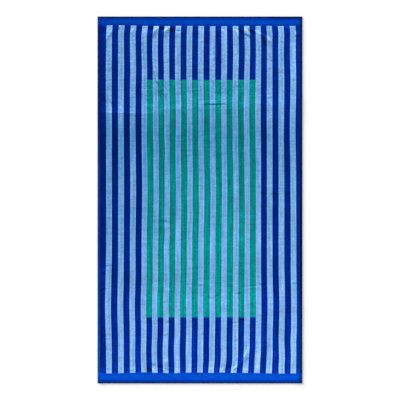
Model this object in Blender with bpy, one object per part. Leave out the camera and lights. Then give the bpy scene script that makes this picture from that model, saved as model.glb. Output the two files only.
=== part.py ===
"""Beach towel, laid out face up on a flat surface.

One woven cloth: a striped velour field, a flat-woven band at each end that is
turned under as the end hem, and a narrow turned hem down each side. +X runs
across the towel and +Y along it. The origin is the middle of the towel, on the
surface that it lies on. The underside rests on z = 0 except where old storage
folds, low swells and puckers at the hems lift it.
"""

import math
from collections import namedtuple

import bmesh
import bpy

MM = 0.001

# The towel as it is cut and hemmed.
WIDTH = 900 * MM
LENGTH = 1613 * MM
TOP_BAND = 40.5 * MM
BOTTOM_BAND = 45.5 * MM
SIDE_HEM = 9.5 * MM

# Thickness of each zone of the cloth.
FIELD_THICK = 3.0 * MM
BAND_THICK = 2.0 * MM
HEM_THICK = 4.0 * MM

# A turned edge is round: it is this thin at the fold and thickens over
# EDGE_SPAN, and its underside curls up by EDGE_CURL over EDGE_ROUND.
EDGE_THICK = 1.0 * MM
EDGE_CURL = 0.8 * MM
EDGE_ROUND = 2.5 * MM
EDGE_SPAN = 2 * EDGE_ROUND

# Beside the thick side hem the thinner field is propped up, and comes back
# down to the surface over PROP_REACH.
PROP_HEIGHT = 0.9 * MM
PROP_REACH = 38 * MM
SEAM_GAP = 2.0 * MM

# Low folds settle back onto the surface: their sum is softened over SETTLE,
# and what is left below RESTS lies flat.
SETTLE = 0.6 * MM
RESTS = 0.06 * MM

# How steeply a crease falls away from its crest, and how soon a crest fades
# out towards its two ends.
CREASE_POWER = 1.6
TIP_FADE = 1.6

# Spacing of the cloth's points: even in the field, closer at the ends.
FIELD_COLUMNS = 38
FIELD_ROWS = 40
END_ZONE = 110 * MM
END_ROWS = 7

SHARP_EDGE = math.radians(40)

COLLECTION = "beach_towel"
NODE = "towel"
STRIPE_BLUE = (0.06, 0.20, 0.50, 1.0)
CLOTH_ROUGHNESS = 0.95

# One row for each fold. (across, along) is the middle of its crest, measured
# from the towel's centre. run is half the crest's length, and turn is the
# crest's direction in degrees, anticlockwise from +X. height is above the
# surface, or below its neighbours where it is negative. far and near are the
# distances over which the cloth comes back down, on the left and on the right
# of the crest's direction. A fold is sharp where its crest is a crease.
Fold = namedtuple("Fold", "name across along run turn height far near sharp")

FOLDS = (
    Fold("upper storage fold", 0.000, 0.402, 0.560, 2.5, 6.0 * MM, 0.075, 0.200, True),
    Fold("swell above the middle", 0.070, 0.046, 0.330, -8, 2.8 * MM, 0.100, 0.085, False),
    Fold("swell over the lower fold", -0.020, -0.262, 0.520, 3, 4.6 * MM, 0.120, 0.125, False),
    Fold("swell under the lower fold", 0.020, -0.500, 0.520, 1, 4.9 * MM, 0.125, 0.130, False),
    Fold("lower storage fold", 0.030, -0.384, 0.500, 2, -2.8 * MM, 0.045, 0.045, True),
    Fold("left edge lift", -0.410, -0.320, 0.090, 78, 2.2 * MM, 0.045, 0.050, False),
    Fold("right lengthwise swell", 0.352, -0.470, 0.130, 88, 2.2 * MM, 0.040, 0.036, False),
    Fold("top pucker, left corner", -0.404, 0.728, 0.045, 62, 2.4 * MM, 0.024, 0.024, False),
    Fold("top pucker, left", -0.196, 0.744, 0.048, 46, 3.6 * MM, 0.026, 0.022, False),
    Fold("top pucker, left inner", -0.150, 0.740, 0.040, 40, 3.2 * MM, 0.022, 0.022, False),
    Fold("top pucker, middle", 0.020, 0.738, 0.060, 88, 2.0 * MM, 0.034, 0.034, False),
    Fold("top pucker, right inner", 0.168, 0.738, 0.052, -52, 3.6 * MM, 0.024, 0.022, False),
    Fold("top pucker, right", 0.222, 0.734, 0.050, -58, 3.2 * MM, 0.022, 0.022, False),
    Fold("top pucker, right outer", 0.290, 0.728, 0.062, -66, 4.0 * MM, 0.026, 0.026, False),
    Fold("top pucker, right corner", 0.398, 0.734, 0.046, -64, 2.4 * MM, 0.024, 0.024, False),
    Fold("bottom pucker, left corner", -0.420, -0.738, 0.050, 100, 2.0 * MM, 0.024, 0.026, False),
    Fold("bottom pucker, left", -0.252, -0.718, 0.062, 112, 3.6 * MM, 0.026, 0.024, False),
    Fold("bottom pucker, left inner", -0.158, -0.734, 0.044, 74, 3.2 * MM, 0.024, 0.024, False),
    Fold("bottom pucker, middle", -0.020, -0.730, 0.050, 94, 2.0 * MM, 0.032, 0.032, False),
    Fold("bottom pucker, long", 0.186, -0.706, 0.088, 52, 4.4 * MM, 0.026, 0.022, False),
    Fold("bottom pucker, right", 0.280, -0.660, 0.085, 80, 3.2 * MM, 0.026, 0.026, False),
    Fold("bottom pucker, right corner", 0.392, -0.736, 0.046, 84, 2.4 * MM, 0.026, 0.026, False),
)


def smooth_step(share):
    """0 to 1 with no corner at either end."""
    share = min(max(share, 0.0), 1.0)
    return share * share * (3.0 - 2.0 * share)


def fold_height(fold, x, y):
    """Height that one fold gives the point (x, y)."""
    turn = math.radians(fold.turn)
    dx = x - fold.across
    dy = y - fold.along
    run = dx * math.cos(turn) + dy * math.sin(turn)
    side = dy * math.cos(turn) - dx * math.sin(turn)
    reach = fold.far if side > 0 else fold.near
    if abs(run) >= fold.run or abs(side) >= reach:
        return 0.0
    slope = 1.0 - abs(side) / reach
    profile = slope**CREASE_POWER if fold.sharp else smooth_step(slope)
    fade = smooth_step(TIP_FADE * (1.0 - abs(run) / fold.run))
    return fold.height * profile * fade


def lift(x, y):
    """Height of the underside that all folds make together, 0 where it rests."""
    height = max(0.0, sum(fold_height(fold, x, y) for fold in FOLDS))
    settled = height * height / (height + SETTLE)
    return settled if settled > RESTS else 0.0


def from_edges(x, y):
    """Distances to the nearer side edge and to the nearer end."""
    return WIDTH / 2 - abs(x), LENGTH / 2 - abs(y)


def prop(to_side):
    """How far the side hem props up the field beside it."""
    inside = to_side - SIDE_HEM
    if inside <= 0.0:
        return 0.0
    return PROP_HEIGHT * smooth_step(inside / SEAM_GAP) * (1.0 - smooth_step(inside / PROP_REACH))


def underside(x, y):
    """Height of the cloth's underside."""
    to_side, to_end = from_edges(x, y)
    curl = EDGE_CURL * max(0.0, 1.0 - min(to_side, to_end) / EDGE_ROUND)
    return lift(x, y) + prop(to_side) + curl


def turned_edge(distance, width, thick):
    """Thickness of a turned hem, rounded over its width to the thin fold."""
    share = math.sin(math.pi / 2 * min(distance / width, 1.0))
    return EDGE_THICK + (thick - EDGE_THICK) * share


def thickness(x, y):
    """Thickness of the cloth at (x, y)."""
    to_side, to_end = from_edges(x, y)
    band = TOP_BAND if y > 0 else BOTTOM_BAND
    cloth = BAND_THICK if to_end < band + SEAM_GAP / 2 else FIELD_THICK
    if to_side < SIDE_HEM + SEAM_GAP / 2:
        cloth = max(cloth, turned_edge(to_side, SIDE_HEM, HEM_THICK))
    edge = turned_edge(min(to_side, to_end), EDGE_SPAN, HEM_THICK)
    return min(cloth, edge)


def column_places():
    """X of each column of points: the side hems, then an even spread between."""
    hem = [0.0, EDGE_ROUND, SIDE_HEM / 2, SIDE_HEM, SIDE_HEM + SEAM_GAP]
    left = [-WIDTH / 2 + step for step in hem]
    start = left[-1]
    step = -2 * start / FIELD_COLUMNS
    middle = [start + step * i for i in range(1, FIELD_COLUMNS)]
    return left + middle + [-x for x in reversed(left)]


def end_rows(band):
    """Distances from one end: the hem, the edge of the pile, then the puckers."""
    first = band + SEAM_GAP
    step = (END_ZONE - first) / END_ROWS
    return [0.0, EDGE_ROUND, band / 2, band] + [first + step * i for i in range(END_ROWS + 1)]


def row_places():
    """Y of each row of points, closer together near the two ends."""
    bottom = [-LENGTH / 2 + step for step in end_rows(BOTTOM_BAND)]
    top = [LENGTH / 2 - step for step in reversed(end_rows(TOP_BAND))]
    step = (top[0] - bottom[-1]) / FIELD_ROWS
    middle = [bottom[-1] + step * i for i in range(1, FIELD_ROWS)]
    return bottom + middle + top


def cloth_material():
    """Cotton velour, in the blue of most of the cloth."""
    material = bpy.data.materials.new("striped_velour")
    material.use_nodes = True
    shader = material.node_tree.nodes["Principled BSDF"]
    shader.inputs["Base Color"].default_value = STRIPE_BLUE
    shader.inputs["Roughness"].default_value = CLOTH_ROUGHNESS
    shader.inputs["Metallic"].default_value = 0.0
    return material


def make_towel(collection):
    """A grid of points for the underside, extruded upwards into the cloth."""
    columns = column_places()
    rows = row_places()
    shape = bmesh.new()
    bmesh.ops.create_grid(
        shape, x_segments=len(columns) - 1, y_segments=len(rows) - 1, size=1.0
    )
    for vert in shape.verts:
        x = columns[round((vert.co.x + 1.0) / 2.0 * (len(columns) - 1))]
        y = rows[round((vert.co.y + 1.0) / 2.0 * (len(rows) - 1))]
        vert.co = (x, y, underside(x, y))
    raised = bmesh.ops.extrude_face_region(shape, geom=shape.faces[:], use_keep_orig=True)
    for item in raised["geom"]:
        if isinstance(item, bmesh.types.BMVert):
            item.co.z += thickness(item.co.x, item.co.y)
    bmesh.ops.recalc_face_normals(shape, faces=shape.faces[:])
    mesh = bpy.data.meshes.new(NODE)
    shape.to_mesh(mesh)
    shape.free()
    mesh.shade_smooth()
    mesh.set_sharp_from_angle(angle=SHARP_EDGE)
    mesh.materials.append(cloth_material())
    towel = bpy.data.objects.new(NODE, mesh)
    collection.objects.link(towel)
    return towel


def main():
    for item in list(bpy.data.objects):
        bpy.data.objects.remove(item, do_unlink=True)
    collection = bpy.data.collections.new(COLLECTION)
    bpy.context.scene.collection.children.link(collection)
    make_towel(collection)


main()
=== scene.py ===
"""Looks of the beach towel, laid out face up on a pale floor.

The towel is one woven cloth: a velour field with light stripes on navy, a tall rectangle in its
middle where the navy turns green-blue, a flat-woven band at each end and a turned hem down each
side. The cloth is a closed sheet on the folds of its solid. Finer creases, the way the pile lies,
painted light and shade on its folds, creases, bands and hems, ribs, weave and stitching are added
here.

Places on the cloth are flat ones, in metres from its middle: s across it and t along it.
"""

import math
from collections import namedtuple

import bmesh
import bpy
import numpy as np
from mathutils import Matrix, Vector, noise


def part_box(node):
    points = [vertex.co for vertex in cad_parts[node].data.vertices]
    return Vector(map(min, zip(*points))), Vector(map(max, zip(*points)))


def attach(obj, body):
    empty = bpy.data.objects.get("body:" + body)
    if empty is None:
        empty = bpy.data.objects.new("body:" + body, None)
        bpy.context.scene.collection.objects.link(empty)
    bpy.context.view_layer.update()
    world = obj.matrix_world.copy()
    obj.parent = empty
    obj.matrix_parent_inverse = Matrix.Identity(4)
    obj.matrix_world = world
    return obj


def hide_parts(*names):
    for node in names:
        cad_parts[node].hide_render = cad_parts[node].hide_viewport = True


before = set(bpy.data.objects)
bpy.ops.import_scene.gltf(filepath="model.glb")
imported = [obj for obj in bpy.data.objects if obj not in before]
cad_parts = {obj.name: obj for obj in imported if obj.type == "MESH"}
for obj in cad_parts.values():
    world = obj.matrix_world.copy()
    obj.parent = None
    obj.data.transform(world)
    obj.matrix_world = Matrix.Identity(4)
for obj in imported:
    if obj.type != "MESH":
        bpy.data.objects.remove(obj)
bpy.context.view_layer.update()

MM = 0.001
NODE = "towel"

# Columns of the tables below that are lengths on the floor. They are in millimetres there.
FLOOR_LENGTHS = {
    "across", "along", "run", "far", "near", "width",
    "reach_across", "reach_along", "draw_across", "draw_along",
}


def placed(kind, table):
    """The rows of a table with their columns named, and in metres."""
    lengths = [name for name in kind._fields if name in FLOOR_LENGTHS]
    rows = [kind(*row) for row in table]
    return [row._replace(**{name: getattr(row, name) * MM for name in lengths}) for row in rows]


# The towel's size, and its zones as the solid has them.
LOW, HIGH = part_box(NODE)
WIDTH = HIGH[0] - LOW[0]
LENGTH = HIGH[1] - LOW[1]
TOP_BAND = 40.5 * MM
BOTTOM_BAND = 45.5 * MM
SIDE_HEM = 9.5 * MM
FIELD_THICK = 3.0 * MM
BAND_THICK = 2.0 * MM
HEM_THICK = 4.0 * MM
EDGE_THICK = 1.0 * MM
EDGE_CURL = 0.8 * MM
EDGE_ROUND = 2.5 * MM
EDGE_SPAN = 2 * EDGE_ROUND
PROP_HEIGHT = 0.9 * MM
PROP_REACH = 38 * MM
SEAM_GAP = 2.0 * MM
SETTLE = 0.6 * MM
RESTS = 0.06 * MM
CREASE_POWER = 1.6
TIP_FADE = 1.6

# Stripes: evenly woven, and 17 light ones.
STRIPES = 17
FIRST_STRIPE = -401.1 * MM
STRIPE_PITCH = 50.76 * MM
STRIPE_HALF = 12.0 * MM
STRIPE_SOFT = 0.4 * MM

# Two faint lighter lines run down each dark stripe, this far from the middle of the light one.
PILE_LINE = 20.8 * MM

# The rectangle of green-blue stripes.
PANEL_LEFT = -248.8 * MM
PANEL_RIGHT = 258.8 * MM
PANEL_BOTTOM = -515.8 * MM
PANEL_TOP = 528.0 * MM

# Sewing: the end hems are stitched this far from the ends, the side hems near their inner edge.
END_SEAM = 35.5 * MM
SIDE_SEAM = SIDE_HEM - 1.2 * MM
SEAM_DEPTH = 0.7 * MM
SEAM_REACH = 1.9 * MM
STITCH_PITCH = 4.0 * MM
STITCH_SIZE = (1.5 * MM, 0.36 * MM, 0.32 * MM)
STITCH_SUNK = 0.1 * MM

# Spacing of the sheet's points.
TURN_STEPS = [0.0, 0.35 * MM, 1.1 * MM, 2.3 * MM, 4.2 * MM, 6.5 * MM]
FINE_STEP = 3.5 * MM
ACROSS_STEP = 6.0 * MM
ALONG_STEP = 7.2 * MM
END_ZONE = 125 * MM

# Unevenness of the cloth: how far apart its ripples are across and along, and how high.
Ripple = namedtuple("Ripple", "across along height seed")
RIPPLES = (
    Ripple(95 * MM, 34 * MM, 0.55 * MM, 3.1),
    Ripple(42 * MM, 24 * MM, 0.30 * MM, 8.7),
)

# A fold, as in the solid: the middle of its crest, half its length, the crest's direction in
# degrees, its height, the distances over which it comes back down on the left and on the right
# of that direction, and whether its crest is a crease, which most aren't.
Fold = namedtuple(
    "Fold", "name across along run turn height far near sharp", defaults=(False,)
)

FOLDS = placed(Fold, (
    ("upper storage fold", 0, 402, 560, 2.5, 6.0 * MM, 75, 200, True),
    ("swell above the middle", 70, 46, 330, -8, 2.8 * MM, 100, 85),
    ("swell over the lower fold", -20, -262, 520, 3, 4.6 * MM, 120, 125),
    ("swell under the lower fold", 20, -500, 520, 1, 4.9 * MM, 125, 130),
    ("lower storage fold", 30, -384, 500, 2, -2.8 * MM, 45, 45, True),
    ("left edge lift", -410, -320, 90, 78, 2.2 * MM, 45, 50),
    ("right lengthwise swell", 352, -470, 130, 88, 2.2 * MM, 40, 36),
    ("top pucker, left corner", -404, 728, 45, 62, 2.4 * MM, 24, 24),
    ("top pucker, left", -196, 744, 48, 46, 3.6 * MM, 26, 22),
    ("top pucker, left inner", -150, 740, 40, 40, 3.2 * MM, 22, 22),
    ("top pucker, middle", 20, 738, 60, 88, 2.0 * MM, 34, 34),
    ("top pucker, right inner", 168, 738, 52, -52, 3.6 * MM, 24, 22),
    ("top pucker, right", 222, 734, 50, -58, 3.2 * MM, 22, 22),
    ("top pucker, right outer", 290, 728, 62, -66, 4.0 * MM, 26, 26),
    ("top pucker, right corner", 398, 734, 46, -64, 2.4 * MM, 24, 24),
    ("bottom pucker, left corner", -420, -738, 50, 100, 2.0 * MM, 24, 26),
    ("bottom pucker, left", -252, -718, 62, 112, 3.6 * MM, 26, 24),
    ("bottom pucker, left inner", -158, -734, 44, 74, 3.2 * MM, 24, 24),
    ("bottom pucker, middle", -20, -730, 50, 94, 2.0 * MM, 32, 32),
    ("bottom pucker, long", 186, -706, 88, 52, 4.4 * MM, 26, 22),
    ("bottom pucker, right", 280, -660, 85, 80, 3.2 * MM, 26, 26),
    ("bottom pucker, right corner", 392, -736, 46, 84, 2.4 * MM, 26, 26),
))

# Fine creases in the pile, too shallow for the solid, and two folds that are pressed flatter, in
# the same columns.
CREASES = placed(Fold, (
    ("ridge of the upper fold, left", -350, 387, 130, 2.5, 0.9 * MM, 8, 11, True),
    ("upper fold, pressed flatter", 40, 404, 400, 2.5, -1.3 * MM, 40, 38, True),
    ("upper fold, softer crest", -115, 399, 110, 2.5, -0.5 * MM, 32, 30, True),
    ("line in the upper fold", 65, 422, 56, 3, -0.8 * MM, 8, 8),
    ("line in the upper fold, right", 272, 418, 36, 2, -0.6 * MM, 8, 8),
    ("valley of the lower fold", 253, -374, 78, 2, -1.1 * MM, 10, 10, True),
    ("crease, upper left", -176, 602, 56, 3, -0.6 * MM, 10, 12),
    ("crease, upper middle", 15, 567, 44, -4, -0.5 * MM, 10, 12),
    ("crease, middle", 20, 88, 44, 2, -0.6 * MM, 10, 12),
    ("crease, right of the middle", 297, 39, 60, 4, -0.6 * MM, 10, 12),
    ("crease, left of the middle", -165, -101, 60, -2, -0.6 * MM, 10, 12),
    ("crease at the left edge", -418, -290, 40, 8, -0.7 * MM, 10, 12),
    ("crease, slanting", 26, -431, 34, -28, -0.7 * MM, 10, 10),
    ("crease, lower left", -172, -510, 46, 4, -0.6 * MM, 10, 12),
    ("crease, lower right", 160, -541, 44, -5, -0.6 * MM, 10, 12),
    ("crease, low on the left", -165, -598, 60, 3, -0.6 * MM, 10, 12),
    ("hollow beside the right swell", 358, -470, 82, 90, -0.8 * MM, 16, 12),
    ("long pucker, pressed flatter", 186, -706, 88, 52, -2.0 * MM, 26, 22),
))

# Painted light and shade in the pile's colour, in the same columns: patches made lighter or darker
# as the light on the folds, bands and hems would make them, and a few that are the pile's own tone
# where it is brushed one way or the other. height is the share that it adds to the colour's
# brightness.
PAINTED_SHADING_AND_NAP = placed(Fold, (
    ("shade under the upper fold", 0, 290, 900, 2.5, -0.150, 115, 290),
    ("deeper shade on the left", -330, 365, 150, 3, -0.085, 16, 190),
    ("shade at the left edge", -445, 180, 240, 90, -0.060, 45, 45),
    ("no shade on the right yet", 340, 370, 200, 2, 0.110, 40, 80),
    ("light bottom end", 0, -820, 2000, 0, 0.300, 740, 100),
    ("light top end", 0, 820, 2000, 0, 0.125, 100, 470),
    ("light right side", 450, 0, 4000, 90, 0.105, 900, 100),
    ("shade above the fold", -50, 470, 400, 0, -0.070, 60, 50),
    ("dark patch, right", 235, 110, 90, 82, -0.050, 60, 60),
    ("dark patch, left of the panel", -262, 90, 200, 90, -0.110, 36, 36),
    ("dark left side", -420, -200, 340, 90, -0.040, 110, 110),
    ("light patch, middle", 0, 20, 110, 4, 0.120, 55, 65),
    ("light lower middle", 60, -180, 360, 0, 0.085, 230, 190),
    ("light over the lower fold", -20, -310, 340, 0, 0.110, 75, 60),
    ("light above the bottom", 50, -560, 420, 0, 0.060, 100, 100),
    ("light patch on the lower fold", -175, -378, 40, 0, 0.110, 26, 26),
    ("light patch, bottom right", 320, -700, 140, 4, 0.070, 60, 60),
    ("light spot, left edge", -403, 412, 36, 4, 0.100, 26, 20),
    ("bottom band, hollow", 154, -770, 24, -8, -0.220, 5, 5),
    ("bottom band, left hollow", -198, -774, 34, -6, -0.160, 6, 6),
    ("top band, cloud", 372, 799, 85, 0, -0.550, 9, 8),
    ("bottom band, light left corner", -425, -772, 50, 0, 0.110, 22, 22),
    ("light bottom left corner", -432, -745, 40, 0, 0.200, 24, 16),
    ("light left edge, low", -424, -340, 70, 90, 0.140, 40, 40),
    ("shade on the upper fold, right", 140, 390, 220, 1, -0.090, 40, 45),
    ("shade above the fold, right", 120, 490, 120, 0, -0.050, 50, 50),
    ("shade, right of the middle", 190, -200, 110, 0, -0.050, 50, 50),
    ("light in the lower fold", -50, -370, 130, 0, 0.090, 45, 50),
    ("light under the lower fold", -30, -460, 90, 0, 0.050, 45, 40),
    ("lighter navy, left", -223, 100, 700, 90, 0.060, 18, 18),
    ("darker stripe, right of the middle", 182, 200, 420, 90, -0.070, 18, 18),
    ("lighter navy, right", 386, -300, 140, 90, 0.080, 20, 20),
    ("darker navy, low on the right", 386, -580, 110, 90, -0.110, 20, 20),
    ("crest along the top hem", 0, 749, 600, 0, 0.120, 14, 14),
    ("crest along the bottom hem", 0, -744, 600, 0, 0.240, 16, 12),
))

# Creases in the pile: the middle of each across and along, half its length, its direction in
# degrees, half its width, and how much painted light its crest gets or painted shade its hollow.
# The same share raises or sinks the pile's bump.
Crease = namedtuple("Crease", "across along run turn width tone")

PILE_CREASES = placed(Crease, (
    # Above the upper fold, left half.
    (-400, 730, 46, 55, 7, 0.36),
    (-422, 743, 16, 70, 8, -0.25),
    (-358, 754, 10, 60, 7, -0.25),
    (-299, 750, 18, 50, 7, 0.22),
    (-273, 754, 11, 60, 8, -0.35),
    (-255, 737, 28, 41, 6, 0.20),
    (-220, 756, 18, 20, 8, -0.45),
    (-197, 752, 26, 37, 6, 0.55),
    (-173, 756, 16, -3, 6, -0.62),
    (-154, 749, 34, 33, 6, 0.50),
    (-125, 747, 23, 5, 8, -0.50),
    (-94, 735, 16, -5, 5, 0.32),
    (-96, 746, 12, 10, 5, -0.28),
    (-86, 763, 10, 0, 5, 0.30),
    (-62, 745, 15, 80, 7, -0.20),
    (-75, 700, 12, -20, 6, -0.20),
    (-37, 737, 16, 85, 6, 0.12),
    (-361, 633, 12, 80, 8, 0.20),
    (-387, 580, 42, 20, 8, -0.10),
    (-161, 604, 38, 2, 5, -0.32),
    (-163, 615, 30, 2, 6, 0.12),
    (-251, 600, 44, 2, 5, -0.09),
    (-88, 589, 62, -6, 5, -0.09),
    (-200, 541, 66, -77, 5, -0.20),
    (-193, 536, 60, -77, 5, 0.10),
    (-187, 512, 24, -62, 5, -0.40),
    (-196, 510, 18, -60, 4, 0.16),
    (-150, 477, 28, -55, 4, 0.18),
    (-178, 464, 42, -69, 5, -0.26),
    (-163, 464, 38, -51, 6, -0.22),
    (-143, 473, 42, -42, 6, 0.13),
    # Above the upper fold, right half.
    (79, 724, 15, 90, 7, -0.30),
    (77, 651, 78, 84, 5, 0.15),
    (84, 651, 78, 84, 5, -0.12),
    (103, 745, 29, -45, 7, 0.30),
    (130, 745, 15, -40, 8, -0.35),
    (165, 740, 36, -40, 7, 0.50),
    (182, 737, 17, -45, 8, -0.50),
    (172, 710, 13, -60, 7, -0.30),
    (200, 752, 18, -45, 10, 0.42),
    (211, 721, 30, -37, 7, -0.48),
    (251, 743, 37, -33, 7, 0.42),
    (231, 741, 30, -29, 8, -0.52),
    (286, 723, 29, -32, 8, 0.42),
    (312, 705, 28, -56, 8, 0.80),
    (281, 708, 30, -62, 9, -0.48),
    (290, 686, 20, -75, 7, -0.35),
    (317, 624, 48, -83, 6, -0.16),
    (387, 723, 17, 80, 7, -0.25),
    (383, 761, 20, 0, 9, 0.20),
    (429, 734, 15, -20, 8, 0.45),
    (427, 719, 13, 0, 6, -0.40),
    (422, 752, 10, -30, 7, -0.30),
    (438, 609, 16, 90, 6, -0.30),
    (304, 554, 52, 38, 6, 0.10),
    (416, 554, 48, 43, 6, 0.10),
    (35, 569, 45, 0, 5, -0.18),
    (26, 582, 20, 0, 6, 0.20),
    # Along the upper fold.
    (-420, 448, 30, -66, 8, -0.35),
    (-387, 422, 40, -45, 7, -0.23),
    (-365, 420, 56, -47, 6, 0.18),
    (-385, 386, 75, -2, 5, 0.24),
    (-300, 384, 90, -1, 5, 0.24),
    (-370, 374, 80, -2, 6, -0.14),
    (-270, 370, 90, -1, 6, -0.14),
    (-427, 365, 15, -30, 8, -0.30),
    (-218, 386, 30, 12, 5, 0.18),
    (-170, 400, 40, 17, 5, 0.14),
    (-119, 404, 38, 0, 5, 0.05),
    (-136, 396, 34, 0, 5, -0.06),
    (-70, 376, 32, -45, 6, -0.15),
    (40, 419, 44, 0, 6, -0.45),
    (84, 420, 44, 0, 6, -0.70),
    (70, 434, 85, 0, 8, 0.16),
    (268, 418, 36, 0, 5, -0.22),
    (436, 418, 18, 0, 5, -0.18),
    (323, 426, 30, 90, 13, 0.15),
    (365, 418, 18, 90, 8, 0.20),
    (383, 418, 18, 90, 8, 0.20),
    # Between the two folds.
    (22, 341, 16, -10, 8, -0.16),
    (26, 277, 44, 0, 5, 0.11),
    (374, 255, 36, -73, 6, -0.13),
    (341, 163, 34, -72, 5, -0.16),
    (79, 107, 40, -25, 5, -0.18),
    (57, 101, 26, -20, 6, 0.13),
    (44, 85, 12, -30, 6, -0.16),
    (-119, 59, 14, -80, 9, 0.22),
    (246, 35, 32, -2, 6, -0.16),
    (282, 30, 22, -20, 8, -0.36),
    (328, 26, 18, 0, 11, -0.36),
    (387, 24, 17, 0, 10, -0.26),
    (264, 57, 20, 90, 6, -0.26),
    (286, 61, 14, -60, 8, 0.18),
    (328, 53, 17, 0, 11, 0.15),
    (383, 48, 18, -20, 10, 0.17),
    (328, -18, 22, 90, 16, 0.24),
    (383, -24, 19, 0, 13, 0.20),
    (139, 0, 17, 80, 8, -0.15),
    (160, 215, 60, 88, 6, -0.14),
    (-428, -15, 22, -70, 8, 0.16),
    (-370, -26, 14, 0, 12, 0.15),
    (-154, -95, 42, -8, 6, -0.30),
    (-158, -110, 36, -8, 6, 0.15),
    (-147, -128, 27, 3, 5, -0.16),
    (-125, -79, 22, 90, 5, -0.13),
    (70, -187, 17, -50, 8, 0.18),
    (180, -172, 17, 0, 8, 0.16),
    (-230, -194, 210, 0, 5, -0.06),
    (-183, -245, 20, -27, 5, -0.19),
    # Along the lower fold.
    (-411, -293, 34, 16, 6, -0.24),
    (-420, -310, 12, 60, 7, 0.40),
    (-418, -323, 10, 70, 7, -0.36),
    (-427, -370, 20, 20, 6, -0.17),
    (-413, -392, 15, 10, 6, -0.24),
    (-422, -405, 14, 20, 8, 0.36),
    (431, -282, 22, -55, 6, 0.22),
    (427, -295, 20, -60, 6, -0.22),
    (220, -379, 52, 3, 5, -0.24),
    (282, -373, 22, 0, 6, -0.52),
    (238, -386, 75, 1, 6, 0.22),
    (50, -431, 30, -6, 6, -0.24),
    (81, -417, 17, 35, 6, -0.46),
    (141, -381, 14, -20, 7, -0.22),
    (174, -412, 19, 5, 7, -0.42),
    (132, -398, 20, -20, 7, 0.22),
    (4, -376, 25, -3, 6, -0.26),
    (-53, -370, 42, 2, 5, -0.11),
    (-35, -392, 20, -50, 6, -0.16),
    (329, -401, 15, 90, 9, -0.36),
    (383, -388, 17, 90, 8, -0.26),
    (418, -367, 17, 5, 6, -0.36),
    (-136, -396, 17, 0, 11, 0.18),
    (-150, -450, 32, 2, 6, -0.20),
    (-154, -474, 42, 2, 5, -0.09),
    # Below the lower fold.
    (-176, -533, 17, -10, 10, -0.36),
    (-134, -535, 17, 25, 10, -0.42),
    (-220, -531, 17, 0, 10, -0.13),
    (-156, -554, 40, 5, 7, 0.16),
    (154, -539, 37, 0, 6, -0.22),
    (178, -528, 17, 40, 10, -0.46),
    (163, -550, 34, 3, 6, 0.14),
    (336, -555, 27, -60, 6, -0.14),
    (319, -553, 15, -60, 6, 0.16),
    (20, -592, 15, -20, 7, -0.16),
    (-189, -610, 22, 25, 6, -0.18),
    (-141, -592, 25, 25, 6, -0.15),
    (-139, -613, 22, 15, 6, 0.14),
    (-178, -631, 10, 50, 7, 0.18),
    (163, -617, 15, 30, 7, -0.26),
    (163, -631, 11, 0, 7, 0.18),
    (-418, -625, 17, -50, 6, 0.18),
    (-420, -640, 15, 90, 6, -0.16),
    (-381, -698, 20, -65, 7, -0.18),
    (24, -680, 45, 45, 8, -0.14),
    (218, -656, 30, 50, 8, 0.20),
    (194, -695, 37, 62, 4, 0.50),
    (167, -733, 37, 51, 6, 0.34),
    (136, -748, 20, 60, 6, 0.30),
    (218, -697, 20, 45, 8, -0.13),
    (163, -744, 17, 48, 6, -0.36),
    (123, -742, 24, 40, 7, -0.46),
    (167, -704, 15, 70, 6, -0.22),
    (246, -634, 45, 83, 5, 0.20),
    (262, -730, 26, 84, 6, 0.26),
    (288, -741, 14, 5, 6, -0.40),
    (150, -722, 13, 80, 7, -0.16),
    (-229, -709, 27, -73, 6, 0.26),
    (-209, -742, 25, -43, 6, 0.32),
    (-264, -682, 15, -70, 7, 0.20),
    (-224, -689, 17, 35, 7, -0.22),
    (-224, -743, 22, -37, 8, -0.38),
    (-174, -733, 19, -5, 8, -0.38),
    (-200, -726, 13, -10, 7, -0.32),
    (-266, -744, 10, -60, 7, -0.24),
    (-288, -711, 20, 85, 6, -0.20),
    (-158, -746, 17, -40, 6, 0.26),
    (-401, -744, 13, 0, 4, -0.24),
    (-350, -741, 8, -30, 5, -0.20),
    (-292, -746, 12, 15, 4, -0.20),
    (-247, -747, 12, 25, 4, -0.22),
    (-143, -744, 13, -30, 4, -0.20),
))
CREASE_SHADE = 1.2
END_CREASE_SHADE = 0.45
DARKEST_CREASE = 0.2
CREASE_RISE = 2.2 * MM
PILE_DEPTH = 0.6 * MM
CREASE_WANDER = 5.0 * MM

# Painted highlight on the pile within PILE_END of each band, as if it stood up there and
# caught more light; most at the bottom band.
PILE_END = 11 * MM
PILE_END_HIGHLIGHT = 0.85
TOP_END_HIGHLIGHT = 0.04

# Where the weave is drawn sideways or lengthways, and so where the stripes wander: the middle of
# the place, how far it reaches each way, and how far it draws the cloth across and along.
Pull = namedtuple(
    "Pull",
    "name across along reach_across reach_along draw_across draw_along",
    defaults=(0.0,),
)

WHOLE_LENGTH = 40000

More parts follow.
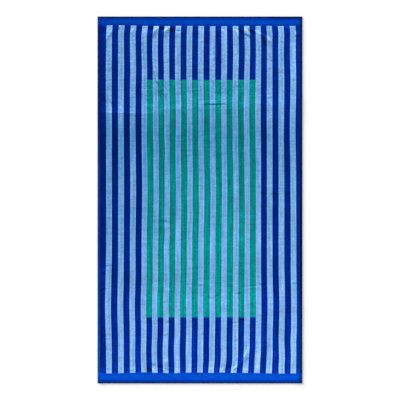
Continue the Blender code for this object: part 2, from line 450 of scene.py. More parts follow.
PULLS = placed(Pull, (
    ("left, all along", -285, 0, 190, WHOLE_LENGTH, 4.4),
    ("right, all along", 305, 0, 150, WHOLE_LENGTH, -2.7),
    ("top hem, left", -260, 775, 330, 55, 4.4),
    ("top hem, right", 370, 775, 230, 55, -3.6),
    ("upper left", -190, 660, 110, 100, -1.8),
    ("upper right", 190, 650, 120, 110, 2.0),
    ("upper right edge", 390, 650, 110, 130, -2.2),
    ("under the upper fold, left", -130, 360, 160, 200, 2.2),
    ("under the upper fold, right", 190, 400, 170, 200, -2.9),
    ("upper fold, right edge", 410, 310, 100, 220, -2.8),
    ("middle", -30, 30, 330, 260, 3.6),
    ("lower left", -220, -470, 420, 170, -3.2),
    ("lower right", 360, -460, 200, 180, 3.0),
    ("bottom left", -170, -670, 200, 130, -3.6),
    ("upper left edge", -420, 530, 70, 230, -1.4),
    ("upper left, inner", -290, 585, 90, 120, 2.0),
    ("upper middle", -20, 560, 170, 200, -1.3),
    ("left of the middle", -250, 57, 150, 260, 2.0),
    ("middle, inner", -40, 20, 100, 90, -1.9),
    ("right of the middle", 170, 220, 120, 80, -1.7),
    ("right of the middle, low", 190, -120, 80, 300, 1.4),
    ("lower middle", 0, -420, 140, 160, -1.5),
    ("right edge", 410, -240, 60, 400, 1.3),
    ("lower left edge", -420, -460, 90, 300, -3.2),
    ("above the bottom hem", -20, -660, 360, 170, -3.0),
    ("bottom puckers", 240, -700, 110, 60, -3.0),
    ("bottom hem, middle", 160, -775, 300, 90, -8.8),
    ("bottom hem, left of the middle", -120, -775, 160, 60, -1.8),
    ("bottom right", 375, -690, 80, 90, 2.4),
    ("bottom hem, right", 360, -765, 60, 45, 2.6),
    ("lower right edge", 411, -560, 45, 80, 2.4),
    ("left of the middle, high", -172, 220, 75, 90, 2.8),
    ("left, under the middle", -147, -143, 50, 65, 2.8),
    ("pile end, top", 0, 766, WHOLE_LENGTH, 30, 0.0, -1.3),
    ("pile end, top left", -360, 766, 150, 30, 0.0, 3.0),
    ("pile end, top middle", 80, 766, 120, 30, 0.0, -1.4),
    ("pile end, top right", 350, 766, 40, 30, 0.0, -1.4),
    ("pile end, bottom", 0, -761, WHOLE_LENGTH, 30, 0.0, 0.6),
    ("pile end, bottom left corner", -400, -761, 80, 30, 0.0, -2.0),
    ("pile end, bottom left", -250, -761, 70, 30, 0.0, 2.4),
    ("pile end, bottom left inner", -120, -761, 50, 30, 0.0, -1.4),
    ("pile end, bottom middle", -20, -761, 60, 30, 0.0, 2.0),
    ("pile end, bottom right inner", 104, -761, 30, 30, 0.0, 2.0),
    ("pile end, bottom right", 360, -761, 160, 30, 0.0, -2.6),
))
PULL_FADE = 30 * MM

# Grain of the finishes: how many of its patches come to a metre across and along, how fine its
# detail is, and how far it swings the tone, or an edge's place, each way.
Grain = namedtuple("Grain", "across along detail swing", defaults=(0.0,))

EDGE_WAVER = Grain(260.0, 260.0, 1.0, 0.6 * MM)
PANEL_WAVER = Grain(60.0, 60.0, 2.0, 2.0 * MM)
BLOTCH = Grain(42.0, 42.0, 2.0, 0.16)
SPECKLE = Grain(130.0, 130.0, 2.0, 0.33)
CROSSWISE = Grain(14.0, 90.0, 2.0, 0.20)
THREADS = Grain(40.0, 230.0, 1.0, 0.12)
# Fine crinkles, with painted shade along them.
CRINKLE = Grain(9.0, 34.0, 2.0)
CRINKLE_WIDTH = 0.018
CRINKLE_SHADE = 0.07
RIBS = Grain(120.0, 4.0, 1.0, 0.34)
FINE_RIBS = Grain(230.0, 10.0, 1.0, 0.24)
PILE = Grain(900.0, 900.0, 1.0, 0.2)
CLUMPS = Grain(165.0, 165.0, 2.0)
# Painted light and shade in the puckered pile near the hems, uneven from place to place.
PUCKER_SHADING = Grain(70.0, 120.0, 2.0, 0.50)
REVERSE_BLOTCH = Grain(42.0, 42.0, 2.0, 0.12)
LOOPS = 420.0
THREAD_TWIST = 2500.0
BAND_PICKS = Grain(260.0, 1100.0, 1.0, 0.12)
BAND_CLOUDS = Grain(30.0, 110.0, 2.0, 0.20)
BAND_STREAKS = Grain(90.0, 300.0, 2.0, 0.14)
HEM_RIBS = Grain(120.0, 420.0, 2.0, 0.25)
HEM_CLOUDS = Grain(30.0, 45.0, 2.0, 0.28)
WANDER = 45.0

# From where to where a shade sets in. These are measured up from the towel's middle,
UPPER_FIELD = (360 * MM, 460 * MM)
LOWER_FIELD = (-360 * MM, -460 * MM)
HEM_ABOVE = (100 * MM, 420 * MM)
HEM_BELOW = (-350 * MM, -650 * MM)
# inwards from the end of the pile,
NEAR_HEM = (90 * MM, 40 * MM)
PUCKERED = (34 * MM, 8 * MM)
PILE_FOOT = (PILE_END, 3 * MM)
# inwards from the side,
BESIDE_HEM = (17 * MM, 13 * MM)
SIDE_STRIP = (24 * MM, 18 * MM)
HEM_FOLD = (0.5 * MM, 6 * MM)
# outwards from the middle of a light stripe,
LIGHT_RIM = (STRIPE_HALF - 6 * MM, STRIPE_HALF - 1 * MM)
LIGHT_EDGE = (STRIPE_HALF - 2.0 * MM, STRIPE_HALF - 0.6 * MM)
DARK_SIDE = (STRIPE_HALF + 5 * MM, STRIPE_HALF)
# inwards from the end,
BAND_DULL = (22 * MM, 40 * MM)
# and to both sides of a line, of a seam and of a hollow in the right hem.
LINE_REACH = (3.0 * MM, 0.5 * MM)
SEAM_SHADE = (0.5 * MM, 3.0 * MM)
HOLLOW = -180 * MM
HOLLOW_REACH = (220 * MM, 120 * MM)

# Painted shade at the bands' outer fold, less of it inwards: from where to where, and how much
# lighter the bottom one and the top one get. At the fold itself they have the tone given next.
BAND_FOLD_SHADE = (0.155, 0.04)
BandStep = namedtuple("BandStep", "start full bottom top")
BAND_STEPS = (
    BandStep(1 * MM, 9 * MM, 0.42, 0.64),
    BandStep(9 * MM, 22 * MM, 0.44, 0.30),
)

# Shade on the bands beside the side hems: how far in it starts, how far in it is full, and its
# depth. Each is given on the left, at the bottom right, and as what the top right adds to that.
SIDE_START = (13 * MM, 24 * MM, -4 * MM)
SIDE_FULL = (1 * MM, 10 * MM, -9 * MM)
SIDE_DEPTH = (-0.40, -0.50, -0.30)

# Colours of each finish where no painted light or shade falls, and how fast red, green and blue
# change under painted light and shade and texture: in painted shade, light yarn turns deeper blue,
# and navy darkens twice over.
NAVY = (0.0002, 0.0116, 0.1530)
GREEN_BLUE = (0.0003, 0.1700, 0.1650)
LIGHT_BLUE = (0.1340, 0.2890, 0.5370)
LIGHT_IN_PANEL = (0.1190, 0.2800, 0.5350)
STRIPE_EDGE = (0.5, 0.95, 1.0)
EDGE_GREEN = (1.0, 1.35, 1.05)
BAND_BLUE = (0.0003, 0.0450, 0.3860)
HEM_BLUE = (0.0008, 0.0280, 0.1870)
REVERSE_NAVY = (0.0030, 0.0210, 0.1900)
REVERSE_LIGHT = (0.1700, 0.3100, 0.5300)
REVERSE_GREEN = (0.0060, 0.1800, 0.1800)
THREAD_BLUE = (0.0020, 0.0600, 0.3400)
FLOOR_WHITE = (0.80, 0.80, 0.80)

LIGHT_POWERS = (1.4, 1.0, 0.85)
SHADE_POWERS = (1.3, 0.0, -0.30)
NAVY_POWERS = (1.5, 1.5, 1.68)
GREEN_POWERS = (1.5, 1.35, 1.35)
BAND_POWERS = (1.5, 1.15, 1.0)
HEM_POWERS = (1.5, 1.8, 1.0)
SPECULAR = 0.01

# Studio: the frame is FRAME_WIDTH of floor across, seen from straight above.
PHOTO_PIXELS = 400
PIXEL = 4.3988 * MM
FRAME_WIDTH = PHOTO_PIXELS * PIXEL
CAMERA_HEIGHT = 6.0
SENSOR = 36.0
CENTRE = (0.35 * MM, -0.3 * MM)
FLOOR_SIZE = 40.0
FLOOR_DROP = 0.2 * MM
SKY_STRENGTH = 0.80
KEY_STRENGTH = 8.1
KEY_ELEVATION = math.radians(10.5)
KEY_AZIMUTH = math.radians(137)
KEY_ANGLE = math.radians(19)


def smooth_step(share):
    """0 to 1 with no corner at either end."""
    share = np.clip(share, 0.0, 1.0)
    return share * share * (3.0 - 2.0 * share)


def ridge(fold, x, y):
    """What one row of a fold table adds at each point."""
    turn = math.radians(fold.turn)
    dx = x - fold.across
    dy = y - fold.along
    run = dx * math.cos(turn) + dy * math.sin(turn)
    side = dy * math.cos(turn) - dx * math.sin(turn)
    reach = np.where(side > 0, fold.far, fold.near)
    slope = np.clip(1.0 - np.abs(side) / reach, 0.0, 1.0)
    profile = slope**CREASE_POWER if fold.sharp else smooth_step(slope)
    fade = smooth_step(TIP_FADE * (1.0 - np.abs(run) / fold.run))
    return fold.height * profile * fade


def ridges(table, x, y):
    return sum(ridge(fold, x, y) for fold in table)


def lift(x, y):
    """Height of the underside that the folds make together, 0 where it rests."""
    height = np.maximum(ridges(FOLDS, x, y), 0.0)
    settled = height * height / (height + SETTLE)
    return np.where(settled > RESTS, settled, 0.0)


def turned_edge(distance, width, thick):
    """Thickness of a turned hem, rounded over its width to the thin fold."""
    share = np.sin(math.pi / 2 * np.clip(distance / width, 0.0, 1.0))
    return EDGE_THICK + (thick - EDGE_THICK) * share


def from_edges(s, t):
    """Distances to the nearer side edge and to the nearer end."""
    return WIDTH / 2 - np.abs(s), LENGTH / 2 - np.abs(t)


def pile_end(t):
    """How far from the nearer end the pile stops."""
    return np.where(t > 0, TOP_BAND, BOTTOM_BAND)


def groove(distance):
    """Depth of the groove that a line of stitches pulls, at a distance from it."""
    return SEAM_DEPTH * smooth_step(1.0 - np.abs(distance) / SEAM_REACH)


def thickness(s, t):
    """Thickness of the cloth, with the grooves of its seams."""
    to_side, to_end = from_edges(s, t)
    pile = smooth_step((to_end - pile_end(t)) / SEAM_GAP)
    cloth = BAND_THICK + (FIELD_THICK - BAND_THICK) * pile
    hem = turned_edge(to_side, SIDE_HEM, HEM_THICK)
    past_hem = smooth_step((to_side - SIDE_HEM) / SEAM_GAP)
    cloth = np.maximum(cloth, hem * (1.0 - past_hem) + cloth * past_hem)
    cloth = np.minimum(cloth, turned_edge(np.minimum(to_side, to_end), EDGE_SPAN, HEM_THICK))
    return cloth - groove(to_end - END_SEAM) - groove(to_side - SIDE_SEAM - SEAM_GAP / 2)


def prop(to_side):
    """How far the thick side hem props up the field beside it."""
    inside = np.maximum(to_side - SIDE_HEM, 0.0)
    return PROP_HEIGHT * smooth_step(inside / SEAM_GAP) * (1.0 - smooth_step(inside / PROP_REACH))


def ripples(s, t):
    """Height of the cloth's small unevenness, none of it at the edges."""
    to_side, to_end = from_edges(s, t)
    inside = smooth_step(np.minimum(to_side, to_end) / PROP_REACH)
    height = np.zeros(len(s))
    for ripple in RIPPLES:
        places = zip(s / ripple.across, t / ripple.along)
        height += ripple.height * np.array([noise.noise((a, b, ripple.seed)) for a, b in places])
    return height * inside


def drawn(s, t):
    """Where the pulls move each flat place to, on the floor."""
    to_side, to_end = from_edges(s, t)
    x = s.copy()
    y = t.copy()
    for pull in PULLS:
        near = smooth_step(1.0 - np.abs(s - pull.across) / pull.reach_across)
        near = near * smooth_step(1.0 - np.abs(t - pull.along) / pull.reach_along)
        x += pull.draw_across * near * smooth_step(to_side / PULL_FADE)
        y += pull.draw_along * near * smooth_step(to_end / PULL_FADE)
    return x, y


def laid(s, t):
    """x, y, and the heights of the cloth's underside and face, at each flat place."""
    x, y = drawn(s, t)
    to_side, to_end = from_edges(s, t)
    curl = EDGE_CURL * np.clip(1.0 - np.minimum(to_side, to_end) / EDGE_ROUND, 0.0, 1.0)
    under = lift(x, y) + prop(to_side) + curl
    face = under + thickness(s, t) + ridges(CREASES, x, y) + ripples(s, t)
    return x, y, under, face


def painted_shading_and_nap(s, t):
    """Painted light and shade, and some of the pile's own tone, at each place: 1 where there is
    none.
    """
    x, y = drawn(s, t)
    inside = from_edges(s, t)[1] - pile_end(t)
    # Painted highlight where the pile meets each band.
    end_highlight = np.where(t > 0, TOP_END_HIGHLIGHT, PILE_END_HIGHLIGHT)
    end_highlight = end_highlight * smooth_step(1.0 - inside / PILE_END) * (inside > 0)
    return 1.0 + ridges(PAINTED_SHADING_AND_NAP, x, y) + end_highlight


def spread(marks, step):
    """The marks, and evenly spaced places between them no more than step apart."""
    places = []
    for start, stop in zip(marks, marks[1:]):
        count = math.ceil((stop - start) / step - 1e-6)
        places += [start + (stop - start) * i / count for i in range(count)]
    return places + [marks[-1]]


def column_places():
    side = TURN_STEPS + [SIDE_SEAM, SIDE_HEM, SIDE_HEM + SEAM_GAP / 2, SIDE_HEM + SEAM_GAP, 15 * MM]
    left = [place - WIDTH / 2 for place in side]
    middle = spread([left[-1], -left[-1]], ACROSS_STEP)
    return left + middle[1:-1] + [-place for place in reversed(left)]


def end_rows(band):
    """Distances from one end: the turned edge, the seam, the end of the pile, the puckers."""
    seam = [END_SEAM + SEAM_REACH * share for share in (-1.0, -0.5, 0.0, 0.5, 1.0)]
    pile = [band + SEAM_GAP * share for share in (0.0, 1 / 3, 2 / 3, 1.0)]
    return spread(TURN_STEPS + seam + pile + [END_ZONE], FINE_STEP)


def row_places():
    bottom = [place - LENGTH / 2 for place in end_rows(BOTTOM_BAND)]
    top = [LENGTH / 2 - place for place in reversed(end_rows(TOP_BAND))]
    middle = spread([bottom[-1], top[0]], ALONG_STEP)
    return bottom + middle[1:-1] + top


class Shading:
    """A material, with short ways to add the nodes that its finish needs."""

    def __init__(self, name, roughness, specular=SPECULAR):
        self.material = bpy.data.materials.new(name)
        self.material.use_nodes = True
        self.tree = self.material.node_tree
        self.shader = self.tree.nodes["Principled BSDF"]
        self.shader.inputs["Roughness"].default_value = roughness
        self.shader.inputs["Specular IOR Level"].default_value = specular

    def node(self, kind, inputs, **settings):
        """A new node with these settings, and its inputs by name or by number."""
        node = self.tree.nodes.new("ShaderNode" + kind)
        for name, value in settings.items():
            setattr(node, name, value)
        for name, item in inputs.items():
            self.feed(node.inputs[name], item)
        return node

    def feed(self, socket, item):
        """Link an output to a socket, or set the socket to a plain value."""
        if isinstance(item, bpy.types.NodeSocket):
            self.tree.links.new(item, socket)
        elif isinstance(item, tuple) and len(item) == 3 and socket.type == "RGBA":
            socket.default_value = (*item, 1.0)
        else:
            socket.default_value = item

    def math(self, operation, first, second=0.0, third=0.0):
        parts = {0: first, 1: second, 2: third}
        return self.node("Math", parts, operation=operation).outputs[0]

    def vectors(self, operation, first, second, third=(0.0, 0.0, 0.0)):
        parts = {0: first, 1: second, 2: third}
        return self.node("VectorMath", parts, operation=operation).outputs[0]

    def less(self, first, second):
        return self.math("SUBTRACT", first, second)

    def added(self, start, *parts):
        """A start with parts added to it, each a share and what it adds where it is 1."""
        for share, gain in parts:
            start = self.math("MULTIPLY_ADD", share, gain, start)
        return start

    def step(self, item, low, high):
        """0 below low and 1 above high, smooth between them."""
        parts = {"Value": item, "From Min": low, "From Max": high}
        return self.node("MapRange", parts, interpolation_type="SMOOTHSTEP").outputs["Result"]

    def places(self):
        """The flat place of each point, as a vector and as its two parts."""
        place = self.node("UVMap", {}, uv_map="cloth").outputs[0]
        parts = self.node("SeparateXYZ", {0: place})
        return place, parts.outputs["X"], parts.outputs["Y"]

    def edges(self, s, t):
        """Distances to the nearer side edge and to the nearer end."""
        to_side = self.less(WIDTH / 2, self.math("ABSOLUTE", s))
        to_end = self.less(LENGTH / 2, self.math("ABSOLUTE", t))
        return to_side, to_end

    def mixed(self, share, first, second):
        """A number that goes from first to second."""
        return self.math("MULTIPLY_ADD", share, second - first, first)

    def right(self, s):
        """0 on the left half and 1 on the right."""
        return self.step(s, -0.1, 0.1)

    def top(self, t):
        """0 on the bottom half and 1 on the top."""
        return self.step(t, -0.1, 0.1)

    def pile_end(self, t):
        """How far from the nearer end the pile stops."""
        return self.mixed(self.top(t), BOTTOM_BAND, TOP_BAND)

    def attribute(self, name):
        return self.node("Attribute", {}, attribute_name=name).outputs["Fac"]

    def stretched(self, vector, across, along):
        return self.node("Mapping", {"Vector": vector, "Scale": (across, along, 1.0)}).outputs[0]

    def noise(self, vector, scale, detail, output="Fac"):
        parts = {"Vector": vector, "Scale": scale, "Detail": detail}
        return self.node("TexNoise", parts).outputs[output]

    def grain(self, vector, grain):
        """Noise of a grain's own spacing across and along."""
        return self.noise(self.stretched(vector, grain.across, grain.along), 1.0, grain.detail)

    def uneven(self, vector, grain, share=None):
        """A grain that swings around 1, by its own swing or by a share of it."""
        swing = grain.swing if share is None else self.math("MULTIPLY", share, grain.swing)
        return self.around_one(self.grain(vector, grain), swing)

    def cells(self, vector, scale, randomness):
        """Distance from the middle of the nearest of many small cells."""
        parts = {"Vector": vector, "Scale": scale, "Randomness": randomness}
        return self.node("TexVoronoi", parts).outputs["Distance"]

    def mix(self, share, first, second):
        parts = {"Factor": share, "A": first, "B": second}
        return self.node("Mix", parts, data_type="RGBA").outputs["Result"]

    def tinted(self, colour, tint):
        """A colour times another colour, or times a plain tone."""
        return self.vectors("MULTIPLY", colour, tint)

    def wandering(self, vector, scale, reach):
        """The places, moved a little this way and that, so that what is drawn there wanders."""
        ways = self.noise(vector, scale, 1.0, "Color")
        both = (2.0 * reach, 2.0 * reach, 0.0)
        shift = self.vectors("MULTIPLY_ADD", ways, both, (-reach, -reach, 0.0))
        return self.vectors("ADD", vector, shift)

    def creased(self, vector, table):
        """What all creases of a table add to the tone: painted light on crests, painted shade in
        hollows.
        """
        total = 0.0
        for crease in table:
            parts = {
                "Vector": vector,
                "Location": (crease.across, crease.along, 0.0),
                "Rotation": (0.0, 0.0, math.radians(crease.turn)),
                "Scale": (crease.run, crease.width, 1.0),
            }
            place = self.node("Mapping", parts, vector_type="TEXTURE").outputs[0]
            spot = self.node("TexGradient", {0: place}, gradient_type="SPHERICAL")
            total = self.added(total, (spot.outputs["Fac"], crease.tone))
        return total

    def deepened(self, colour, tone, powers, shade_powers=(0.0, 0.0, 0.0)):
        """A colour under a tone, each of red, green and blue by its own power of the tone.

        Where the tone is below 1, shade_powers are added to these powers.
        """
        shade = self.math("MINIMUM", tone, 1.0)
        parts = [self.math("POWER", tone, power) for power in powers]
        for i, power in enumerate(shade_powers):
            if power:
                parts[i] = self.product(parts[i], self.math("POWER", shade, power))
        return self.tinted(colour, self.node("CombineXYZ", dict(enumerate(parts))).outputs[0])

    def around_one(self, item, swing):
        """A 0 to 1 value as one that swings by this much each way around 1."""
        if isinstance(swing, float):
            return self.math("MULTIPLY_ADD", item, 2.0 * swing, 1.0 - swing)
        centred = self.math("MULTIPLY_ADD", item, 2.0, -1.0)
        return self.math("MULTIPLY_ADD", centred, swing, 1.0)

    def wavering(self, vector, grain):
        """A grain that swings around 0."""
        return self.math("MULTIPLY_ADD", self.grain(vector, grain), 2 * grain.swing, -grain.swing)

    def line(self, item, width):
        """1 where a 0 to 1 value passes its middle, 0 where it is further from it than width."""
        off = self.math("ABSOLUTE", self.less(item, 0.5))
        return self.step(off, width, 0.0)

    def product(self, *items):
        result = items[0]
        for item in items[1:]:
            result = self.math("MULTIPLY", result, item)
        return result

    def finish(self, colour, height, distance):
        """Give the shader its colour and its bump, whose height is in share of distance."""
        bump = self.node("Bump", {"Strength": 1.0, "Distance": distance, "Height": height})
        self.feed(self.shader.inputs["Base Color"], colour)
        self.feed(self.shader.inputs["Normal"], bump.outputs[0])
        return self.material


def stripe_masks(look, cloth, s, t):
    """Shares of light stripe and of panel, and the distance from the nearest light stripe."""
    from_first = look.less(look.math("ADD", s, look.wavering(cloth, EDGE_WAVER)), FIRST_STRIPE)
    number = look.math("ROUND", look.math("DIVIDE", from_first, STRIPE_PITCH))
    number = look.math("MINIMUM", look.math("MAXIMUM", number, 0.0), STRIPES - 1.0)
    distance = look.math("ABSOLUTE", look.less(from_first, look.product(number, STRIPE_PITCH)))
    dark = look.step(distance, STRIPE_HALF - STRIPE_SOFT, STRIPE_HALF + STRIPE_SOFT)
    ends = look.math("ADD", t, look.wavering(cloth, PANEL_WAVER))
    panel = look.product(
        look.step(s, PANEL_LEFT - STRIPE_SOFT, PANEL_LEFT + STRIPE_SOFT),
        look.step(s, PANEL_RIGHT + STRIPE_SOFT, PANEL_RIGHT - STRIPE_SOFT),
        look.step(ends, PANEL_BOTTOM - STRIPE_SOFT, PANEL_BOTTOM + STRIPE_SOFT),
        look.step(ends, PANEL_TOP + STRIPE_SOFT, PANEL_TOP - STRIPE_SOFT),
    )
    return look.less(1.0, dark), panel, distance


def velour_face():
    """Sheared pile: creases in painted light and shade, ribs along the cloth, blotches, lighter
    stripe edges.
    """
    look = Shading("velour_face", roughness=0.95)
    look.shader.inputs["Sheen Weight"].default_value = 0.03
    look.shader.inputs["Sheen Roughness"].default_value = 0.4
    look.shader.inputs["Sheen Tint"].default_value = (0.02, 0.25, 1.0, 1.0)
    cloth, s, t = look.places()
    light, panel, distance = stripe_masks(look, cloth, s, t)
    to_side, to_end = look.edges(s, t)
    inside = look.less(to_end, look.pile_end(t))
    right = look.right(s)
    upper = look.step(t, *UPPER_FIELD)
    lower = look.step(t, *LOWER_FIELD)

    creases = look.creased(look.wandering(cloth, WANDER, CREASE_WANDER), PILE_CREASES)
    depth = look.added(CREASE_SHADE, (look.step(inside, *NEAR_HEM), END_CREASE_SHADE))
    # Painted shade in the groove beside each side hem, deeper on the left.
    shade_beside_hem = look.step(to_side, *BESIDE_HEM)
    # Painted light and shade on the pile's colour: the attribute's patches, the creases and the
    # puckers.
    shape = look.product(
        look.attribute("painted_shading_and_nap"),
        look.math("MAXIMUM", look.added(1.0, (creases, depth)), DARKEST_CREASE),
        look.uneven(cloth, PUCKER_SHADING, look.step(inside, *PUCKERED)),
        look.added(1.0, (shade_beside_hem, look.mixed(right, -0.32, -0.02))),
    )

    restless = look.added(1.0, (upper, 0.45))
    # Painted shade along fine crinkles.
    crinkle = look.line(look.grain(cloth, CRINKLE), CRINKLE_WIDTH)
    texture = look.product(
        look.uneven(cloth, BLOTCH),
        look.uneven(cloth, SPECKLE, restless),
        look.uneven(cloth, CROSSWISE, restless),
        look.uneven(cloth, THREADS, restless),
        look.added(1.01, (look.product(crinkle, restless), -CRINKLE_SHADE)),
    )

    ribs = look.grain(cloth, RIBS)
    fine_ribs = look.uneven(cloth, FINE_RIBS)
    light_tone = look.product(
        shape,
        texture,
        look.around_one(ribs, RIBS.swing),
        fine_ribs,
        look.added(0.95, (look.step(distance, *LIGHT_RIM), 0.20)),
    )
    lively = look.added(0.7, (lower, 0.25), (upper, 0.18), (panel, 0.25))
    line = look.step(look.math("ABSOLUTE", look.less(distance, PILE_LINE)), *LINE_REACH)
    pile_foot = look.product(lower, look.step(inside, *PILE_FOOT))
    dark_tone = look.product(
        shape,
        look.math("POWER", texture, lively),
        look.around_one(ribs, look.added(RIBS.swing, (lower, 0.20))),
        fine_ribs,
        look.added(1.04, (look.step(distance, *DARK_SIDE), -0.20)),
        look.added(0.98, (line, 0.05)),
        look.mixed(upper, 0.97, 1.0),
        look.added(1.0, (pile_foot, -0.10)),
    )
    dark_colour = look.mix(
        panel,
        look.deepened(NAVY, dark_tone, NAVY_POWERS),
        look.deepened(GREEN_BLUE, dark_tone, GREEN_POWERS),
    )
    right_edge = look.product(right, look.step(to_side, *SIDE_STRIP))
    dark_colour = look.mix(right_edge, dark_colour, look.tinted(dark_colour, EDGE_GREEN))
    light_colour = look.mix(
        panel,
        look.deepened(LIGHT_BLUE, light_tone, LIGHT_POWERS, SHADE_POWERS),
        look.deepened(LIGHT_IN_PANEL, light_tone, LIGHT_POWERS, SHADE_POWERS),
    )
    edge = look.step(distance, *LIGHT_EDGE)
    light_colour = look.mix(edge, light_colour, look.tinted(light_colour, STRIPE_EDGE))

    height = look.added(
        look.grain(cloth, CLUMPS),
        (ribs, 0.2),
        (look.grain(cloth, PILE), PILE.swing),
        (creases, CREASE_RISE / PILE_DEPTH),
    )
    return look.finish(look.mix(light, dark_colour, light_colour), height, PILE_DEPTH)


def looped_reverse():
    """Uncut loops with the same stripes, a little duller."""
    look = Shading("looped_reverse", roughness=0.95)
    cloth, s, t = look.places()
    light, panel, _ = stripe_masks(look, cloth, s, t)
    loops = look.cells(look.stretched(cloth, 1.0, 0.7), LOOPS, 0.7)
    # Painted shade between the loops, darker away from each loop's middle.
    tone = look.product(look.uneven(cloth, REVERSE_BLOTCH), look.added(1.15, (loops, -0.5)))
    dark_colour = look.mix(panel, REVERSE_NAVY, REVERSE_GREEN)
    colour = look.tinted(look.mix(light, dark_colour, REVERSE_LIGHT), tone)
    return look.finish(colour, look.less(1.0, loops), 0.9 * MM)


def flat_band():
    """Flat weave with fine cross ribs, and painted shade at its outer fold, beside the side hems
    and the pile.
    """
    look = Shading("flat_woven_band", roughness=0.85)
    cloth, s, t = look.places()
    to_side, to_end = look.edges(s, t)
    upper = look.top(t)
    right = look.right(s)
    top_right = look.product(upper, right)

    def at_side(left, bottom_right, more_at_top):
        return look.added(look.mixed(right, left, bottom_right), (top_right, more_at_top))

    # Painted shade at the outer fold, lifting inwards.
    fold = look.mixed(upper, *BAND_FOLD_SHADE)
    for part in BAND_STEPS:
        share = look.step(to_end, part.start, part.full)
        fold = look.added(fold, (share, look.mixed(upper, part.bottom, part.top)))
    # Painted shade beside the pile on the top band, and a little painted light there on the bottom
    # one.
    from_pile = look.less(look.pile_end(t), to_end)
    shade_next_to_pile = look.step(from_pile, look.mixed(upper, 9 * MM, 7 * MM), 0.5 * MM)
    shade_beside_hem = look.step(to_side, at_side(*SIDE_START), at_side(*SIDE_FULL))
    off_seam = look.math("ABSOLUTE", look.less(to_end, END_SEAM))
    picks = look.grain(cloth, BAND_PICKS)
    tone = look.product(
        look.attribute("painted_shading_and_nap"),
        fold,
        look.added(1.0, (look.step(to_end, *BAND_DULL), look.mixed(upper, 0.0, -0.05))),
        look.added(1.0, (shade_next_to_pile, look.mixed(upper, 0.03, -0.55))),
        look.added(1.0, (shade_beside_hem, at_side(*SIDE_DEPTH))),
        look.added(0.95, (look.step(off_seam, *SEAM_SHADE), 0.05)),
        look.mixed(upper, 1.0, 0.89),
        look.uneven(cloth, BAND_CLOUDS),
        look.uneven(cloth, BAND_STREAKS),
        look.around_one(picks, BAND_PICKS.swing),
    )
    return look.finish(look.deepened(BAND_BLUE, tone, BAND_POWERS), picks, 0.30 * MM)


def turned_hem():
    """The side hem: ground weave turned over, with short ribs, painted shade at its fold, painted
    light on the left hem and painted shade on the right.
    """
    look = Shading("turned_side_hem", roughness=0.9)
    cloth, s, t = look.places()
    to_side, _ = look.edges(s, t)
    # Painted light on the left hem and painted shade on the right one, changing along the towel,
    # with deeper painted shade in a hollow of the right hem.
    above = look.step(t, *HEM_ABOVE)
    below = look.step(t, *HEM_BELOW)
    hollow = look.step(look.math("ABSOLUTE", look.less(t, HOLLOW)), *HOLLOW_REACH)
    lit_left_tone = look.added(1.20, (above, -0.55), (below, 0.40))
    shaded_right_tone = look.added(0.50, (above, 0.20), (below, 0.40), (hollow, -0.25))
    ribs = look.grain(cloth, HEM_RIBS)
    # The tone: ribs, clouds, painted shade at the fold, and the painted light or shade of each
    # side.
    tone = look.product(
        look.around_one(ribs, HEM_RIBS.swing),
        look.uneven(cloth, HEM_CLOUDS),
        look.added(0.03, (look.step(to_side, *HEM_FOLD), 0.97)),
        look.added(lit_left_tone, (look.right(s), look.less(shaded_right_tone, lit_left_tone))),
    )
    return look.finish(look.deepened(HEM_BLUE, tone, HEM_POWERS), ribs, 0.5 * MM)


def sewing_thread():
    """Twisted cotton thread."""
    look = Shading("sewing_thread", roughness=0.7, specular=0.15)
    place = look.node("TexCoord", {}).outputs["Object"]
    twist = look.noise(place, THREAD_TWIST, 1.0)
    return look.finish(look.tinted(THREAD_BLUE, look.around_one(twist, 0.25)), twist, 0.1 * MM)


def as_mesh(shape, name):
    mesh = bpy.data.meshes.new(name)
    shape.to_mesh(mesh)
    shape.free()
    return mesh


def add(name, data):
    """Put an object into the scene."""
    item = bpy.data.objects.new(name, data)
    bpy.context.scene.collection.objects.link(item)
    return item


def place_points(mesh, x, y, z):
    mesh.vertices.foreach_set("co", np.column_stack((x, y, z)).astype(np.float32).ravel())
    mesh.update()
    mesh.shade_smooth()


def sheet_of_points(columns, rows):
    """A grid, one vertex a flat place, and a copy of it one unit up, joined into a closed sheet."""
    shape = bmesh.new()
    bmesh.ops.create_grid(shape, x_segments=len(columns) - 1, y_segments=len(rows) - 1, size=1.0)
    raised = bmesh.ops.extrude_face_region(shape, geom=shape.faces[:], use_keep_orig=True)
    for item in raised["geom"]:
        if isinstance(item, bmesh.types.BMVert):
            item.co.z = 1.0
    bmesh.ops.recalc_face_normals(shape, faces=shape.faces[:])
    return as_mesh(shape, "towel_cloth")


def read(items, name, width, kind=np.float32):
    """A property of all items, as an array with width numbers a row."""
    values = np.empty(len(items) * width, kind)
    items.foreach_get(name, values)
    return values.reshape(-1, width)


def flat_place(points, columns, rows):
    """The flat place of points of the unit grid."""
    across = np.interp((points[:, 0] + 1) / 2 * (len(columns) - 1), range(len(columns)), columns)
    along = np.interp((points[:, 1] + 1) / 2 * (len(rows) - 1), range(len(rows)), rows)
    return across, along


def finish_of(s, t, level):
    """Material of each face by its middle: velour, band, hem or reverse."""
    to_side, to_end = from_edges(s, t)
    kind = np.where(level > 0.9, 0, 3)
    kind = np.where(to_side < SIDE_HEM + SEAM_GAP / 2, 2, kind)
    return np.where(to_end < pile_end(t), 1, kind)


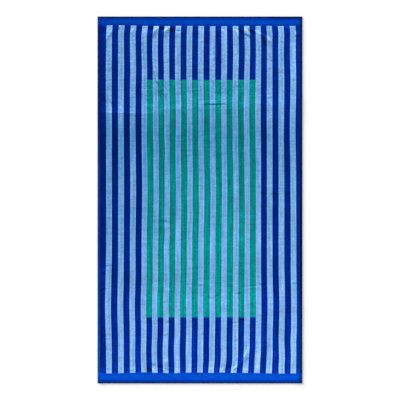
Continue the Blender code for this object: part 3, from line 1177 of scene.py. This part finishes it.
def make_cloth():
    columns = column_places()
    rows = row_places()
    mesh = sheet_of_points(columns, rows)
    middles = read(mesh.polygons, "center", 3)
    face_s, face_t = flat_place(middles, columns, rows)
    mesh.polygons.foreach_set("material_index", finish_of(face_s, face_t, middles[:, 2]))
    for material in (velour_face(), flat_band(), turned_hem(), looped_reverse()):
        mesh.materials.append(material)

    points = read(mesh.vertices, "co", 3)
    s, t = flat_place(points, columns, rows)
    x, y, under, face = laid(s, t)
    mesh.attributes.new("painted_shading_and_nap", "FLOAT", "POINT").data.foreach_set("value", painted_shading_and_nap(s, t))
    corners = read(mesh.loops, "vertex_index", 1, np.int32)[:, 0]
    flat = np.column_stack((s[corners], t[corners])).astype(np.float32)
    mesh.uv_layers.new(name="cloth").data.foreach_set("uv", flat.ravel())
    place_points(mesh, x, y, np.where(points[:, 2] > 0.5, face, under))
    return add("towel_cloth", mesh)


def stitch_mesh():
    """One stitch, along X, with its middle at the origin."""
    shape = bmesh.new()
    bmesh.ops.create_uvsphere(
        shape, u_segments=6, v_segments=4, radius=1.0, matrix=Matrix.Diagonal((*STITCH_SIZE, 1.0))
    )
    return as_mesh(shape, "stitch")


def make_stitches(name, length, turned, places):
    """Straight rows of stitches as an array, then bent onto the cloth's face.

    turned rows run along the towel. Each of places is a row's distance from the towel's middle.
    """
    row = add("row", stitch_mesh())
    for axis, count, step in (
        (0, round(length / STITCH_PITCH), STITCH_PITCH),
        (1, len(places), places[1] - places[0]),
    ):
        array = row.modifiers.new("stitches", "ARRAY")
        array.count = count
        array.use_relative_offset = False
        array.use_constant_offset = True
        array.constant_offset_displace = [step if i == axis else 0.0 for i in range(3)]
    graph = bpy.context.evaluated_depsgraph_get()
    mesh = bpy.data.meshes.new_from_object(row.evaluated_get(graph))
    bpy.data.objects.remove(row)

    points = read(mesh.vertices, "co", 3).astype(float)
    run = points[:, 0] - (length - STITCH_PITCH) / 2
    side = points[:, 1] + places[0]
    x, y, _, face = laid(side, run) if turned else laid(run, side)
    if turned:
        mesh.flip_normals()
    place_points(mesh, x, y, face + points[:, 2] - STITCH_SUNK)
    mesh.name = name
    mesh.materials.append(sewing_thread())
    return add(name, mesh)


def make_towel():
    cloth = make_cloth()
    side = WIDTH / 2 - SIDE_SEAM - SEAM_GAP / 2
    end = LENGTH / 2 - END_SEAM
    stitches = [
        make_stitches("side_hem_stitches", LENGTH - 2 * EDGE_ROUND, True, (-side, side)),
        make_stitches("end_hem_stitches", WIDTH - 2 * SIDE_HEM, False, (-end, end)),
    ]
    for piece in [cloth, *stitches]:
        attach(piece, "root")
    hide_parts(NODE)


def make_floor():
    shape = bmesh.new()
    bmesh.ops.create_grid(shape, x_segments=1, y_segments=1, size=FLOOR_SIZE / 2)
    bmesh.ops.translate(shape, verts=shape.verts, vec=(0.0, 0.0, -FLOOR_DROP))
    mesh = as_mesh(shape, "floor")
    look = Shading("floor_white", roughness=1.0, specular=0.0)
    look.feed(look.shader.inputs["Base Color"], FLOOR_WHITE)
    mesh.materials.append(look.material)
    floor = add("floor", mesh)


def make_light():
    """A soft key from beyond the top left corner, and an even sky."""
    key = bpy.data.lights.new("key", "SUN")
    key.energy = KEY_STRENGTH
    key.angle = KEY_ANGLE
    towards = Vector((
        math.cos(KEY_AZIMUTH) * math.cos(KEY_ELEVATION),
        math.sin(KEY_AZIMUTH) * math.cos(KEY_ELEVATION),
        math.sin(KEY_ELEVATION),
    ))
    add("key", key).rotation_euler = towards.to_track_quat("Z", "Y").to_euler()
    world = bpy.data.worlds.new("studio")
    world.use_nodes = True
    world.node_tree.nodes["Background"].inputs["Strength"].default_value = SKY_STRENGTH
    world.node_tree.nodes["Background"].inputs["Color"].default_value = (1.0, 1.0, 1.0, 1.0)
    bpy.context.scene.world = world


def make_camera():
    data = bpy.data.cameras.new("camera")
    data.sensor_width = SENSOR
    data.lens = SENSOR * CAMERA_HEIGHT / FRAME_WIDTH
    data.clip_end = 100.0
    camera = add("camera", data)
    camera.location = (*CENTRE, CAMERA_HEIGHT)
    bpy.context.scene.camera = camera


make_camera()
make_towel()
make_floor()
make_light()
bpy.context.scene.view_settings.view_transform = "Standard"
